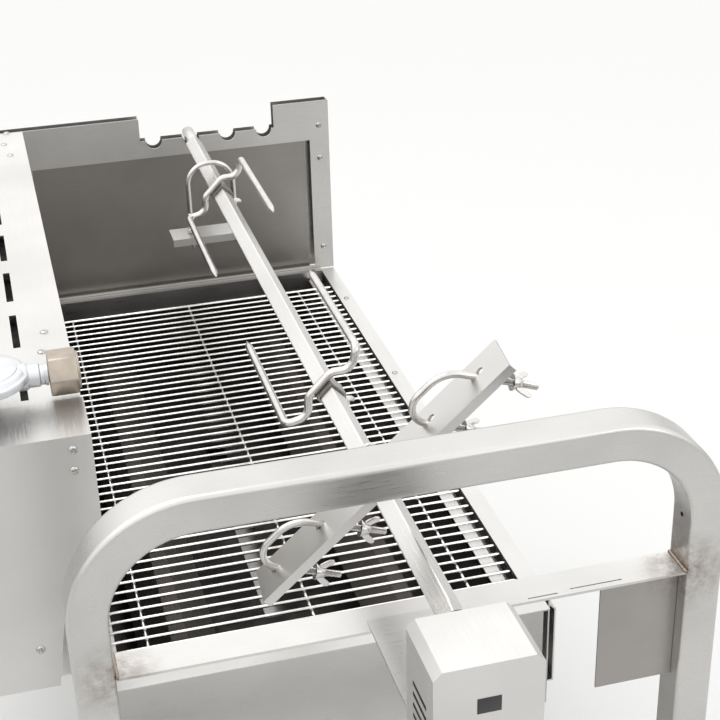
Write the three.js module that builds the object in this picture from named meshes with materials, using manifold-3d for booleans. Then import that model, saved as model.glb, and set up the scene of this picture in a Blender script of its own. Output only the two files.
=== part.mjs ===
// Hog-roast machine: a gas spit roaster with a bar grate, on a wheeled trolley.
// Millimetres. X runs across the machine, Y along the spit, Z up from the floor.
import * as THREE from 'three';
import { mergeVertices } from 'three/addons/utils/BufferGeometryUtils.js';
import Module from 'manifold-3d';

const wasm = await Module();
wasm.setup();

// ---- driving dimensions ----------------------------------------------------
const GRATE_Z = 720;          // bar centres above the floor
const PITCH = 20;             // from bar to bar
const BARS = 49;
const BAR = 4;
const SHEET = 2;              // stainless sheet
const GAP = 0.4;              // between pieces that touch
const MID_X = 300;            // middle of the trough
const HALF_GRATE = 261;       // half the length of a bar
const TROUGH_NEAR = -989.6;
const TROUGH_FAR = 81;
const WALL_TOP = GRATE_Z + 320;

const SPIT_X = 344;
const SPIT_Z = GRATE_Z + 276;
const SPIT_SIDE = 20;         // square bar
const STUB_R = 10.5;
const TANG_CORNER = 9;        // corner radius of the driven end

const LOOP_X = [8, 680];      // outside of the handle loop
const LOOP_Y = [-1224, -1178];
const LOOP_TOP = GRATE_Z + 372;
const LOOP_TUBE = 40;
const LOOP_BEND = 129;
const LOOP_WALL = 2;
const LEG_Z = 130;            // underside of the legs' foot plates
const FOOT_PLATE = 4;
const FAR_LEG_Y = [54, 94];
const BEAM_Z = [GRATE_Z - 240, GRATE_Z - 200];

const WHEEL_R = 50;
const WHEEL_TRAIL = 25;

// ---- materials --------------------------------------------------------------
const metal = (color, roughness) => new THREE.MeshStandardMaterial({ color, roughness, metalness: 1 });
const stainless = metal(0xc9c6c2, 0.35);
const darkSteel = metal(0x3c3a38, 0.6);
const chrome = metal(0xdedede, 0.15);
const alloy = metal(0xa9abad, 0.5);
const brass = metal(0xb79f7c, 0.4);
const rubber = new THREE.MeshStandardMaterial({ color: 0x2a2a2a, roughness: 0.8, metalness: 0 });
const plastic = new THREE.MeshStandardMaterial({ color: 0x181818, roughness: 0.5, metalness: 0 });

// ---- solids -----------------------------------------------------------------
const model = new THREE.Group();

function merged(geometry) {
  const bare = geometry.clone();
  bare.deleteAttribute('normal');
  bare.deleteAttribute('uv');
  return mergeVertices(bare, 1e-4);
}

function signedVolume(geometry) {
  const position = geometry.attributes.position;
  const index = geometry.index.array;
  const corners = [new THREE.Vector3(), new THREE.Vector3(), new THREE.Vector3()];
  let sum = 0;
  for (let i = 0; i < index.length; i += 3) {
    corners.forEach((corner, k) => corner.fromBufferAttribute(position, index[i + k]));
    sum += corners[0].dot(corners[1].clone().cross(corners[2]));
  }
  return sum / 6;
}

// Turns the faces of an inside-out mesh outwards.
function outward(geometry) {
  const result = merged(geometry);
  if (signedVolume(result) < 0) result.index.array.reverse();
  return result;
}

function toSolid(geometry) {
  const closed = outward(geometry);
  return new wasm.Manifold(new wasm.Mesh({
    numProp: 3,
    vertProperties: new Float32Array(closed.attributes.position.array),
    triVerts: new Uint32Array(closed.index.array),
  }));
}

function toGeometry(solid) {
  const mesh = solid.getMesh();
  const geometry = new THREE.BufferGeometry();
  geometry.setAttribute('position', new THREE.BufferAttribute(mesh.vertProperties, 3));
  geometry.setIndex(new THREE.BufferAttribute(mesh.triVerts, 1));
  return geometry;
}

const join = (...pieces) => toGeometry(pieces.map(toSolid).reduce((a, b) => a.add(b)));
const cut = (body, ...tools) => toGeometry(tools.map(toSolid).reduce((a, b) => a.subtract(b), toSolid(body)));

function part(name, geometry, material) {
  const mesh = new THREE.Mesh(outward(geometry), material);
  mesh.geometry.computeVertexNormals();
  mesh.name = name;
  model.add(mesh);
}

// ---- shapes -----------------------------------------------------------------
function outline(points, holes = []) {
  const shape = new THREE.Shape(points.map(([a, b]) => new THREE.Vector2(a, b)));
  holes.forEach((hole) => shape.holes.push(new THREE.Path(hole.map(([a, b]) => new THREE.Vector2(a, b)))));
  return shape;
}

const rectangle = (a0, a1, b0, b1) => [[a0, b0], [a1, b0], [a1, b1], [a0, b1]];

function arc(a, b, radius, from, to, steps) {
  return Array.from({ length: steps + 1 }, (_, i) => {
    const angle = THREE.MathUtils.degToRad(from + (to - from) * i / steps);
    return [a + radius * Math.cos(angle), b + radius * Math.sin(angle)];
  });
}

const circle = (a, b, radius, steps) => arc(a, b, radius, 0, 360 - 360 / steps, steps - 1);

// The outline of a bent sheet: a line of points, thickened to its left.
function bentSheet(points, thickness = SHEET) {
  const line = points.map(([a, b]) => new THREE.Vector2(a, b));
  const normals = line.slice(1).map((end, i) => {
    const along = end.clone().sub(line[i]).normalize();
    return new THREE.Vector2(-along.y, along.x);
  });
  const offset = line.map((point, i) => {
    const before = normals[Math.max(i - 1, 0)];
    const after = normals[Math.min(i, normals.length - 1)];
    const mitre = before.clone().add(after);
    return point.clone().addScaledVector(mitre, thickness * 2 / mitre.lengthSq());
  });
  return [...points, ...offset.reverse().map((v) => [v.x, v.y])];
}

// Extrudes an outline along X (drawn in Y, Z), Y (drawn in X, Z) or Z (drawn in X, Y).
const BASES = {
  X: [[0, 1, 0], [0, 0, 1], [1, 0, 0]],
  Y: [[1, 0, 0], [0, 0, 1], [0, -1, 0]],
  Z: [[1, 0, 0], [0, 1, 0], [0, 0, 1]],
};
function prism(axis, shape, from, to) {
  const drawn = shape instanceof THREE.Shape ? shape : outline(shape);
  const geometry = new THREE.ExtrudeGeometry(drawn, { depth: to - from, bevelEnabled: false, steps: 1 });
  const basis = BASES[axis].map((v) => new THREE.Vector3(...v));
  geometry.applyMatrix4(new THREE.Matrix4().makeBasis(...basis));
  const start = axis === 'Y' ? to : from;
  const shift = { X: [start, 0, 0], Y: [0, start, 0], Z: [0, 0, start] }[axis];
  return geometry.translate(...shift);
}

const box = (x0, x1, y0, y1, z0, z1) => prism('Z', rectangle(x0, x1, y0, y1), z0, z1);

function openTube(axis, a0, a1, b0, b1, from, to, wall = SHEET) {
  const inside = rectangle(a0 + wall, a1 - wall, b0 + wall, b1 - wall);
  return prism(axis, outline(rectangle(a0, a1, b0, b1), [inside]), from, to);
}

// A round or square section swept along straight runs with rounded corners.
function bentRod(points, radius, bend, steps, sides = 6) {
  const corners = points.map((p) => new THREE.Vector3(...p));
  const path = new THREE.CurvePath();
  let last = corners[0];
  for (let i = 1; i < corners.length - 1; i += 1) {
    const toBefore = corners[i - 1].clone().sub(corners[i]);
    const toAfter = corners[i + 1].clone().sub(corners[i]);
    const room = Math.min(bend, toBefore.length() / 2, toAfter.length() / 2);
    const enter = corners[i].clone().addScaledVector(toBefore.normalize(), room);
    const leave = corners[i].clone().addScaledVector(toAfter.normalize(), room);
    path.add(new THREE.LineCurve3(last, enter));
    path.add(new THREE.QuadraticBezierCurve3(enter, corners[i], leave));
    last = leave;
  }
  path.add(new THREE.LineCurve3(last, corners[corners.length - 1]));
  const section = outline(circle(0, 0, radius, sides));
  return new THREE.ExtrudeGeometry(section, { steps, extrudePath: path, bevelEnabled: false });
}

const mirrored = (points) => points.map(([x, z]) => [2 * MID_X - x, z]).reverse();

// ---- trolley ----------------------------------------------------------------
const LEG_X = [[LOOP_X[0], LOOP_X[0] + LOOP_TUBE], [LOOP_X[1] - LOOP_TUBE, LOOP_X[1]]];
const INSIDE_X = [LEG_X[0][1] + GAP, LEG_X[1][0] - GAP];
const middle = ([low, high]) => (low + high) / 2;

function footPlate(x, y) {
  const half = 32;
  return box(x - half, x + half, y - half, y + half, LEG_Z - FOOT_PLATE, LEG_Z + 0.5);
}

function loopOutline(inset, bottom) {
  const [left, right] = [LOOP_X[0] + inset, LOOP_X[1] - inset];
  const top = LOOP_TOP - inset;
  const radius = LOOP_BEND - inset;
  return [
    [left, bottom],
    [right, bottom],
    ...arc(right - radius, top - radius, radius, 0, 90, 8),
    ...arc(left + radius, top - radius, radius, 90, 180, 8),
  ];
}

function loopTube(outer, inner, bottom, from, to) {
  const ring = [...loopOutline(outer, bottom).slice(1), [LOOP_X[0] + outer, bottom]];
  const inside = [[LOOP_X[0] + inner, bottom], ...loopOutline(inner, bottom).slice(2).reverse()];
  return prism('Y', [...ring, ...inside, [LOOP_X[1] - inner, bottom]], from, to);
}

function handleLoop() {
  const tube = loopTube(0, LOOP_TUBE, LEG_Z, ...LOOP_Y);
  const hollow = loopTube(
    LOOP_WALL, LOOP_TUBE - LOOP_WALL, LEG_Z - 20, LOOP_Y[0] + LOOP_WALL, LOOP_Y[1] - LOOP_WALL,
  );
  const feet = LEG_X.map((x) => footPlate(middle(x), middle(LOOP_Y)));
  const vents = LEG_X.map((x) => box(middle(x) - 14, middle(x) + 14, middle(LOOP_Y) - 14, middle(LOOP_Y) + 14,
    LEG_Z - 10, LEG_Z + 10));
  return cut(join(tube, ...feet), hollowAbove(hollow), ...vents);
}

// The tube's bore stops at the foot plates, which the vent holes pass through.
function hollowAbove(hollow) {
  return cut(hollow, box(LOOP_X[0] - 10, LOOP_X[1] + 10, LOOP_Y[0], LOOP_Y[1], 0, LEG_Z + 0.5));
}

function farLeg(x) {
  const tube = openTube('Z', ...x, ...FAR_LEG_Y, LEG_Z, BEAM_Z[0] - GAP);
  const foot = footPlate(middle(x), middle(FAR_LEG_Y));
  const vent = box(middle(x) - 14, middle(x) + 14, middle(FAR_LEG_Y) - 14, middle(FAR_LEG_Y) + 14,
    LEG_Z - 10, LEG_Z + 10);
  return cut(join(tube, foot), vent);
}

const CROSSBAR_Z = [GRATE_Z + 182, GRATE_Z + 185];

function crossbar() {
  const slits = [[466, 498, -1218], [513, 570, -1215]].map(([from, to, y]) => box(
    from, to, y, y + 1.6, CROSSBAR_Z[0] - 5, CROSSBAR_Z[1] + 5,
  ));
  return cut(box(...INSIDE_X, -1222, -1182, ...CROSSBAR_Z), ...slits);
}

function shelf() {
  const profile = bentSheet([[658, 150], [658, 180], [30, 180], [30, 150]].reverse());
  return prism('Y', profile, LOOP_Y[1] + GAP, FAR_LEG_Y[0] - GAP);
}

function trolley() {
  part('handle_loop', handleLoop(), stainless);
  part('handle_crossbar', crossbar(), stainless);
  part('handle_gusset', box(552, INSIDE_X[1], -1204, -1202, GRATE_Z + 40, CROSSBAR_Z[0] - GAP), stainless);
  part('leg_far_rear', farLeg(LEG_X[0]), stainless);
  part('leg_far_front', farLeg(LEG_X[1]), stainless);
  part('cross_rail_near', openTube('X', LOOP_Y[0] + 3, LOOP_Y[1], ...BEAM_Z, ...INSIDE_X), stainless);
  const railRun = [LOOP_Y[1] + GAP, FAR_LEG_Y[0] - GAP];
  part('cross_rail_far', openTube('X', ...FAR_LEG_Y, ...BEAM_Z, ...LOOP_X), stainless);
  part('rail_rear', openTube('Y', 20, 60, ...BEAM_Z, ...railRun), stainless);
  part('rail_front', openTube('Y', 540, 580, ...BEAM_Z, ...railRun), stainless);
  part('lower_shelf', shelf(), stainless);
}

// ---- castors ----------------------------------------------------------------
function castorFork(x, y) {
  const sides = prism('Y', bentSheet([[x - 21, 38], [x - 21, 112], [x + 21, 112], [x + 21, 38]], 3),
    y - WHEEL_TRAIL - 16, y + 20);
  const head = new THREE.CylinderGeometry(26, 26, 12, 12).rotateX(Math.PI / 2)
    .translate(x, y, LEG_Z - FOOT_PLATE - GAP - 6);
  const axle = new THREE.CylinderGeometry(5, 5, 54, 8).rotateZ(Math.PI / 2)
    .translate(x, y - WHEEL_TRAIL, WHEEL_R);
  return join(sides, head, axle);
}

function castorWheel(x, y) {
  const profile = [[5.3, -18], [14, -18], [14, -13], [46, -13], [WHEEL_R, -9]];
  const section = [...profile, ...profile.map(([r, a]) => [r, -a]).reverse(), profile[0]];
  return new THREE.LatheGeometry(section.map(([r, a]) => new THREE.Vector2(r, a)), 18)
    .rotateZ(Math.PI / 2).translate(x, y - WHEEL_TRAIL, WHEEL_R);
}

function castors() {
  const places = {
    near_rear: [middle(LEG_X[0]), middle(LOOP_Y)],
    near_front: [middle(LEG_X[1]), middle(LOOP_Y)],
    far_rear: [middle(LEG_X[0]), middle(FAR_LEG_Y)],
    far_front: [middle(LEG_X[1]), middle(FAR_LEG_Y)],
  };
  Object.entries(places).forEach(([name, [x, y]]) => {
    part(`castor_fork_${name}`, castorFork(x, y), stainless);
    part(`castor_wheel_${name}`, castorWheel(x, y), rubber);
  });
}

// ---- trough, burners and grate ----------------------------------------------
const TROUGH_FLOOR = GRATE_Z - 170;

function troughSide() {
  return bentSheet([
    [480, TROUGH_FLOOR + SHEET],
    [565, GRATE_Z - 70],
    [565, GRATE_Z + 1],
    [585, GRATE_Z + 1],
    [585, GRATE_Z - 160],
  ]);
}

function ledge() {
  const z = GRATE_Z - 10;
  return bentSheet([[561, z - 30], [561, z - 10], [551, z - 10], [551, z], [535, z]].reverse());
}

function heatPlate() {
  const z = GRATE_Z - 82;
  return bentSheet([[400, z - 30], [440, z], [460, z], [500, z - 30]].reverse(), -SHEET);
}

function nearEnd() {
  const foot = BEAM_Z[1] + GAP;
  const trayTop = TROUGH_FLOOR - 6;
  const plate = [
    [22, foot],
    [62, foot],
    [62, trayTop],
    [538, trayTop],
    [538, foot],
    [578, foot],
    [578, GRATE_Z + 3],
    [22, GRATE_Z + 3],
  ];
  const lip = box(22, 578, -1012, -990, GRATE_Z + 1, GRATE_Z + 3);
  return join(prism('Y', plate, -992, TROUGH_NEAR - GAP), lip);
}

function grate() {
  const half = BAR / 2;
  const bars = Array.from({ length: BARS }, (_, i) => box(
    MID_X - HALF_GRATE, MID_X + HALF_GRATE, -i * PITCH - half, -i * PITCH + half, GRATE_Z - half, GRATE_Z + half,
  ));
  const wires = [100, 302, 500].map((x) => box(
    x, x + BAR, -(BARS - 1) * PITCH - half, half, GRATE_Z - half - BAR, GRATE_Z - half + 0.3,
  ));
  return join(...wires, ...bars);
}

function trough() {
  const ends = [TROUGH_NEAR, TROUGH_FAR];
  part('trough_front', prism('Y', troughSide(), ...ends), darkSteel);
  part('trough_rear', prism('Y', mirrored(troughSide()), ...ends), darkSteel);
  const drain = rectangle(285, 315, -700, -200);
  const floor = outline(rectangle(122, 478, ...ends), [drain]);
  part('trough_bottom', prism('Z', floor, TROUGH_FLOOR, TROUGH_FLOOR + SHEET - GAP), darkSteel);
  part('trough_near_end', nearEnd(), stainless);
  part('trough_far_end', box(22, 578, TROUGH_FAR + GAP, TROUGH_FAR + GAP + SHEET,
    BEAM_Z[1] + GAP, GRATE_Z - 1), darkSteel);
  part('ledge_front', prism('Y', ledge(), -985, 60), stainless);
  part('ledge_rear', prism('Y', mirrored(ledge()), -985, 60), stainless);
  part('grate', grate(), chrome);
  part('heat_plate_front', prism('Y', heatPlate(), -960, 40), stainless);
  part('heat_plate_rear', prism('Y', mirrored(heatPlate()), -960, 40), stainless);
  [['burner_front', 450], ['burner_rear', 150]].forEach(([name, x]) => {
    const burner = new THREE.CylinderGeometry(16, 16, 940, 12).translate(x, -460, GRATE_Z - 125);
    part(name, burner, stainless);
  });
}

function dripTray() {
  const [x0, x1, y0, y1] = [66, 534, -980, 40];
  const [z0, z1] = [BEAM_Z[1] + GAP, TROUGH_FLOOR - 8];
  const pan = box(x0, x1, y0, y1, z0, z1);
  const hollow = box(x0 + SHEET, x1 - SHEET, y0 + SHEET, y1 - SHEET, z0 + SHEET, z1 + 10);
  const grip = openTube('Z', 240, 360, y0 - 30, y0 + 1, z0 + 4, z0 + 12, 10);
  part('drip_tray', join(cut(pan, hollow), grip), stainless);
}

// ---- gas controls -----------------------------------------------------------
const KNOBS = [-250, -500, -750];
const KNOB_Z = GRATE_Z - 100;

function knob(y) {
  const profile = [[0, 12], [4.8, 12], [4.8, 0], [20, 0], [22, 4], [19, 22], [17, 24], [0, 24]];
  return new THREE.LatheGeometry(profile.map(([r, a]) => new THREE.Vector2(r, a)), 14)
    .rotateZ(-Math.PI / 2).translate(608.6, y, KNOB_Z);
}

function gasControls() {
  const pipe = new THREE.CylinderGeometry(5, 5, 800, 10).translate(595, -500, KNOB_Z);
  const stems = KNOBS.map((y) => new THREE.CylinderGeometry(4, 4, 22, 10).rotateZ(Math.PI / 2)
    .translate(607, y, KNOB_Z));
  part('gas_manifold', join(pipe, ...stems), alloy);
  const fascia = prism('Y', bentSheet([
    [587.4, GRATE_Z - 20], [606, GRATE_Z - 40], [606, GRATE_Z - 150], [590, GRATE_Z - 150],
  ]), -960, 20);
  const holes = KNOBS.map((y) => new THREE.CylinderGeometry(6, 6, 12, 12).rotateZ(Math.PI / 2)
    .translate(607, y, KNOB_Z));
  part('control_panel', cut(fascia, ...holes), stainless);
  KNOBS.forEach((y, i) => part(`knob_${i + 1}`, knob(y), plastic));
}

// ---- far end wall -----------------------------------------------------------
const NOTCHES = [280, SPIT_X, 408, 472];
const WALL_X = [-158, 588];

// The window that the spit drops into: open at the top, with four rests along its foot.
function spitWindow() {
  const floor = GRATE_Z + 280;
  const rest = SPIT_Z - STUB_R - GAP;
  const radius = 13.5;
  const steps = NOTCHES.flatMap((x) => [
    [x - radius, floor], ...arc(x, rest + radius, radius, 180, 360, 8), [x + radius, floor],
  ]);
  return prism('Y', [[256, floor], ...steps, [490, floor], [490, WALL_TOP + 20], [256, WALL_TOP + 20]], 70, 120);
}

function endWall() {
  const foot = GRATE_Z + 4;
  const frame = prism('Y', outline(
    rectangle(...WALL_X, foot, WALL_TOP), [rectangle(70, 553, GRATE_Z + 10, GRATE_Z + 250)],
  ), 84, 86);
  const back = prism('Z', bentSheet([[WALL_X[0], 104], [586, 104], [586, 86 + GAP]], SHEET), foot, WALL_TOP);
  const panel = bentSheet([[87, GRATE_Z + 254], [95, GRATE_Z + 254], [95, foot + 2], [87, foot + 2]], -SHEET);
  const lip = bentSheet([[66, GRATE_Z - 30], [66, GRATE_Z + 6], [83, GRATE_Z + 6]].reverse(), SHEET);
  part('end_wall_frame', cut(frame, spitWindow()), stainless);
  part('end_wall_panel', prism('X', panel, 62, 545), stainless);
  part('end_wall_back', cut(back, spitWindow()), stainless);
  part('end_wall_ledge', prism('X', lip, 38, 562), stainless);
}

// ---- rear hood and regulator --------------------------------------------------
const HOOD_Y = [-968, 83.4];
const HOOD_FACE = 62;
const HOOD_BACK = -158;
const SLOTS = 7;

function hoodLine(out) {
  return [
    [-6 + out, GRATE_Z + 6],
    [11 + out, GRATE_Z + 114 - out],
    [HOOD_FACE + out, GRATE_Z + 190 - out],
    [HOOD_FACE + out, WALL_TOP + out],
    [HOOD_BACK - out, WALL_TOP + out],
    [HOOD_BACK - out, GRATE_Z + 6],
  ];
}

function hood() {
  const shell = prism('Y', bentSheet(hoodLine(0), SHEET), ...HOOD_Y);
  const slots = [2, -70].flatMap((x) => Array.from({ length: SLOTS }, (_, i) => {
    const y = -17 - i * 137;
    return box(x - 4.3, x + 4.3, y - 47, y + 47, WALL_TOP - 10, WALL_TOP + 10);
  }));
  const radiantWindow = box(-20, 24, -880, 0, GRATE_Z + 30, GRATE_Z + 100);
  part('hood_shell', cut(shell, radiantWindow, ...slots), stainless);
  const capOuter = prism('Y', hoodLine(SHEET), -986, -900);
  const capInner = prism('Y', hoodLine(GAP), -986 + SHEET, -890);
  part('hood_cap_near', cut(capOuter, capInner, box(-300, 200, -1100, 0, 0, GRATE_Z + 6)), stainless);
  part('hood_base', box(-156, 12, -966, 82, GRATE_Z + 3.4, GRATE_Z + 5.4), stainless);
  part('rear_burner', box(-44, -30, -890, 10, GRATE_Z + 20, GRATE_Z + 108), darkSteel);
}

const REGULATOR = [-40, -890, WALL_TOP + 30];
const NUT_R = 26;

function regulator() {
  const [x, y, z] = REGULATOR;
  const profile = [[0, -8], [34, -8], [46, 0], [50, 3], [50, 9], [44, 12], [42, 16], [30, 19], [0, 20]];
  const disc = new THREE.LatheGeometry(profile.map(([r, a]) => new THREE.Vector2(r, a)), 18)
    .rotateX(Math.PI / 2).translate(x, y, z);
  const foot = new THREE.CylinderGeometry(14, 14, 21.6, 12).rotateX(Math.PI / 2).translate(x, y, z - 16.8);
  const neck = new THREE.CylinderGeometry(13, 13, 90, 14).rotateZ(Math.PI / 2).translate(x + 25, y, z + 1);
  part('regulator_body', join(disc, foot, neck), alloy);
  const hexagon = outline(circle(y, z + 1, NUT_R, 6), [circle(y, z + 1, 12, 14)]);
  part('regulator_nut', prism('X', hexagon, x + 71, x + 102), brass);
}

// ---- spit and what it carries -----------------------------------------------
// Places across the spit: u runs up to the right at 45 degrees, v up to the left.
function across(u, v, y) {
  return [SPIT_X + (u - v) * Math.SQRT1_2, y, SPIT_Z + (u + v) * Math.SQRT1_2];
}

function turned(geometry) {
  return geometry.rotateY(-Math.PI / 4).translate(SPIT_X, 0, SPIT_Z);
}

const centred = (half) => rectangle(-half, half, -half, half);

function squareBar(half, from, to) {
  return turned(prism('Y', centred(half), from, to));
}

function spit() {
  const half = SPIT_SIDE / 2;
  const bar = squareBar(half, -1328, 60);
  const corner = half * Math.SQRT2;
  const taper = new THREE.CylinderGeometry(corner, TANG_CORNER, 19, 4).translate(SPIT_X, -1337, SPIT_Z);
  const tang = new THREE.CylinderGeometry(TANG_CORNER, TANG_CORNER, 46, 4).translate(SPIT_X, -1366, SPIT_Z);
  const stub = new THREE.CylinderGeometry(STUB_R, STUB_R, 70, 20).translate(SPIT_X, 90, SPIT_Z);
  return join(bar, taper, tang, stub);
}

const SLEEVE = 13;
const FORK_ROD_R = 5;
const BORE = SPIT_SIDE / 2 + GAP;

// A square sleeve with one bent rod welded over it, whose ends are the prongs.
function fork(y, reach) {
  const sleeve = turned(prism('Y', outline(centred(SLEEVE), [centred(BORE)]), y - 12, y + 12));
  const wave = [[-62, 14], [-46, 4], [-34, 3], [-20, 16.4], [20, 16.4], [34, 3], [46, 4], [62, 14]];
  const points = [
    across(-62, 14, y + reach),
    ...wave.map(([u, v]) => across(u, v, y)),
    across(62, 14, y + reach),
  ];
  const rod = bentRod(points, FORK_ROD_R, 12, 44);
  const screwHole = screwCylinder(3.4, -30, 0, y);
  return cut(join(sleeve, rod), screwHole);
}

function screwCylinder(radius, from, to, y) {
  const [x, , z] = across(0, (from + to) / 2, y);
  return new THREE.CylinderGeometry(radius, radius, to - from, 10)
    .rotateX(Math.PI / 2).rotateY(-Math.PI / 4).translate(x, y, z);
}

function lockScrew(y) {
  const head = screwCylinder(8, -34, -26, y);
  return join(screwCylinder(3, -27, -BORE - GAP, y), head);
}

const BRACKET_Y = [-1094, -1040];
const BRACKET_V = -BORE - 3;
const BRACKET_HALF = 186;
const BRACKET_SKEW = -5.5;    // degrees about the plate's normal
const CLAMP_Y = -1051;
const LEG_BOLT_Y = -1063.5;
const LEG_BOLT_HALF = 36;
const LEG_BOLT_TILT = 28;
const LEG_BOLTS = { upper: 120, lower: -124 };

// Turns a piece of the bracket about the normal of its plate, where the spit crosses it.
function skewed(geometry) {
  const centre = new THREE.Vector3(SPIT_X, middle(BRACKET_Y), SPIT_Z);
  const normal = new THREE.Vector3(-Math.SQRT1_2, 0, Math.SQRT1_2);
  const turn = new THREE.Matrix4().makeRotationAxis(normal, THREE.MathUtils.degToRad(BRACKET_SKEW));
  return geometry.translate(...centre.clone().negate()).applyMatrix4(turn).translate(...centre);
}

// A U-bolt for a hog's leg: its legs lean from the plate's normal, as they do when slack.
function legRod(centre, radius) {
  const lean = THREE.MathUtils.degToRad(LEG_BOLT_TILT);
  const at = (side, distance) => across(
    centre + side * LEG_BOLT_HALF + distance * Math.sin(lean), BRACKET_V - distance * Math.cos(lean), LEG_BOLT_Y,
  );
  return bentRod([at(-1, 70), at(-1, -38), at(1, -38), at(1, 70)], radius, 35, 26);
}

function bracket() {
  const [from, to] = BRACKET_Y;
  const plate = turned(prism('Y', rectangle(-BRACKET_HALF, BRACKET_HALF, BRACKET_V, BRACKET_V + 3), from, to));
  const lip = turned(prism('Y', rectangle(-BRACKET_HALF, BRACKET_HALF, BRACKET_V - 8, BRACKET_V + 1), from, from + 3));
  const holes = Object.values(LEG_BOLTS).map((u) => legRod(u, 4.8));
  const clampHoles = [-16, 16].map((u) => {
    const [x, , z] = across(u, BRACKET_V, CLAMP_Y);
    return new THREE.CylinderGeometry(2.9, 2.9, 20, 8).rotateX(Math.PI / 2).rotateY(-Math.PI / 4)
      .translate(x, CLAMP_Y, z);
  });
  return skewed(cut(join(plate, lip), ...holes, ...clampHoles));
}

function bracketClamp() {
  const points = [[-16, -24], [-16, 13.2], [16, 13.2], [16, -24]].map(([u, v]) => across(u, v, CLAMP_Y));
  return skewed(bentRod(points, 2.5, 6, 18));
}

const BRACE_Y = [-146, -98];
const BRACE_Z = GRATE_Z + 186;

function brace() {
  const plate = prism('X', bentSheet([[BRACE_Y[0], BRACE_Z - 12], [BRACE_Y[0], BRACE_Z], [BRACE_Y[1], BRACE_Z]]
    .reverse(), 2.5), SPIT_X - 74, SPIT_X + 52);
  const [y, legs] = [-120, [SPIT_X - 40, SPIT_X + 33]];
  const holes = legs.map((x) => new THREE.CylinderGeometry(4.5, 4.5, 30, 10).rotateX(Math.PI / 2)
    .translate(x, y, BRACE_Z));
  part('brace_plate', cut(plate, ...holes), stainless);
  const top = SPIT_Z + 25;
  const bolt = bentRod([[legs[0], y, BRACE_Z - 26], [legs[0], y, top], [legs[1], y, top],
    [legs[1], y, BRACE_Z - 26]], 4, 36, 24);
  const nuts = legs.map((x) => new THREE.CylinderGeometry(7.2, 7.2, 5, 6).rotateX(Math.PI / 2)
    .translate(x, y, BRACE_Z - 6));
  part('brace_bolt', join(bolt, ...nuts), stainless);
}

function spitAssembly() {
  part('spit_rod', spit(), stainless);
  [['fork_far', -200, -240], ['fork_near', -890, 230]].forEach(([name, y, reach]) => {
    part(name, fork(y, reach), chrome);
    part(`${name}_screw`, lockScrew(y), chrome);
  });
  part('leg_bracket', bracket(), stainless);
  Object.entries(LEG_BOLTS).forEach(([name, u]) => part(`leg_bolt_${name}`, skewed(legRod(u, 4)), stainless));
  part('bracket_clamp', bracketClamp(), stainless);
  brace();
}

// ---- motor ------------------------------------------------------------------
const MOTOR_Y = [-1440, -1362.4];
const MOTOR_Z = [SPIT_Z - 110, SPIT_Z + 24];
const MOTOR_HALF = 50;
const SOCKET_Y = [-1402, -1352];
const SOCKET_R = 17;

function motor() {
  const shaft = (radius, from, to) => new THREE.CylinderGeometry(radius, radius, to - from, 20)
    .translate(SPIT_X, (from + to) / 2, SPIT_Z);
  const upright = MOTOR_Y[1] + GAP;
  const seat = CROSSBAR_Z[1] + GAP;
  const sheet = bentSheet([[upright, SPIT_Z + 14], [upright, seat], [-1208, seat]], 3);
  const notch = box(SPIT_X - 22, SPIT_X + 22, upright - 10, upright + 10, SPIT_Z, SPIT_Z + 30);
  part('motor_bracket', cut(
    prism('X', sheet, SPIT_X - 45, SPIT_X + 45), shaft(22, upright - 10, upright + 10), notch,
  ), stainless);
  const [left, right, low, high] = [SPIT_X - MOTOR_HALF, SPIT_X + MOTOR_HALF, ...MOTOR_Z];
  const chamfer = 8;
  const housing = prism('Y', [
    [left, low + chamfer], [left + chamfer, low], [right - chamfer, low], [right, low + chamfer],
    [right, high - chamfer], [right - chamfer, high], [left + chamfer, high], [left, high - chamfer],
  ], ...MOTOR_Y);
  part('motor_housing', cut(housing, shaft(SOCKET_R + 3, SOCKET_Y[0] - 6, MOTOR_Y[1] + 10)), stainless);
  const bore = centred(TANG_CORNER * Math.SQRT1_2 + GAP);
  const socket = turned(prism('Y', outline(circle(0, 0, SOCKET_R, 20), [bore]), ...SOCKET_Y));
  part('drive_socket', socket, darkSteel);
}

trolley();
castors();
trough();
dripTray();
gasControls();
endWall();
hood();
regulator();
spitAssembly();
motor();

// The origin is the middle of the machine's box, on the floor.
const centre = new THREE.Box3().setFromObject(model, true).getCenter(new THREE.Vector3());
model.position.set(-centre.x, -centre.y, 0);

export default model;
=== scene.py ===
"""Looks of the hog-roast machine: stainless sheet and tube, a plated bar grate,
a square spit and its fittings."""

import math
import random

import bmesh
import bpy
from mathutils import Matrix, Vector


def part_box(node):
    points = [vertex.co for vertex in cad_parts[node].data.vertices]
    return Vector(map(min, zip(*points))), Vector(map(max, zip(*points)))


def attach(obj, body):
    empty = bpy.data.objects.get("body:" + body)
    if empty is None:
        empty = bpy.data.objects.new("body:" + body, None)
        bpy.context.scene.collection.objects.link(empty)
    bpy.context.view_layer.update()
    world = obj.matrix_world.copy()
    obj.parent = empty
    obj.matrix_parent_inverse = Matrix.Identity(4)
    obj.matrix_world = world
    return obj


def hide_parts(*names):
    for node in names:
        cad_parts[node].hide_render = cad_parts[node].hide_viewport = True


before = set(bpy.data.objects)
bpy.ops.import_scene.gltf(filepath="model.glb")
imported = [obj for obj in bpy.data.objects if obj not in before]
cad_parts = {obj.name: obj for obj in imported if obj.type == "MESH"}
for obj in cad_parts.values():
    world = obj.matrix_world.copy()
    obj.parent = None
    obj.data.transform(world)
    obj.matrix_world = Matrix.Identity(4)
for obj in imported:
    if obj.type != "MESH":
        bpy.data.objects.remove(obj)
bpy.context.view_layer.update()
random.seed(7)

MM = 0.001
PITCH = 20 * MM
BARS = 49
ROOT_HALF = math.sqrt(0.5)

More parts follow.
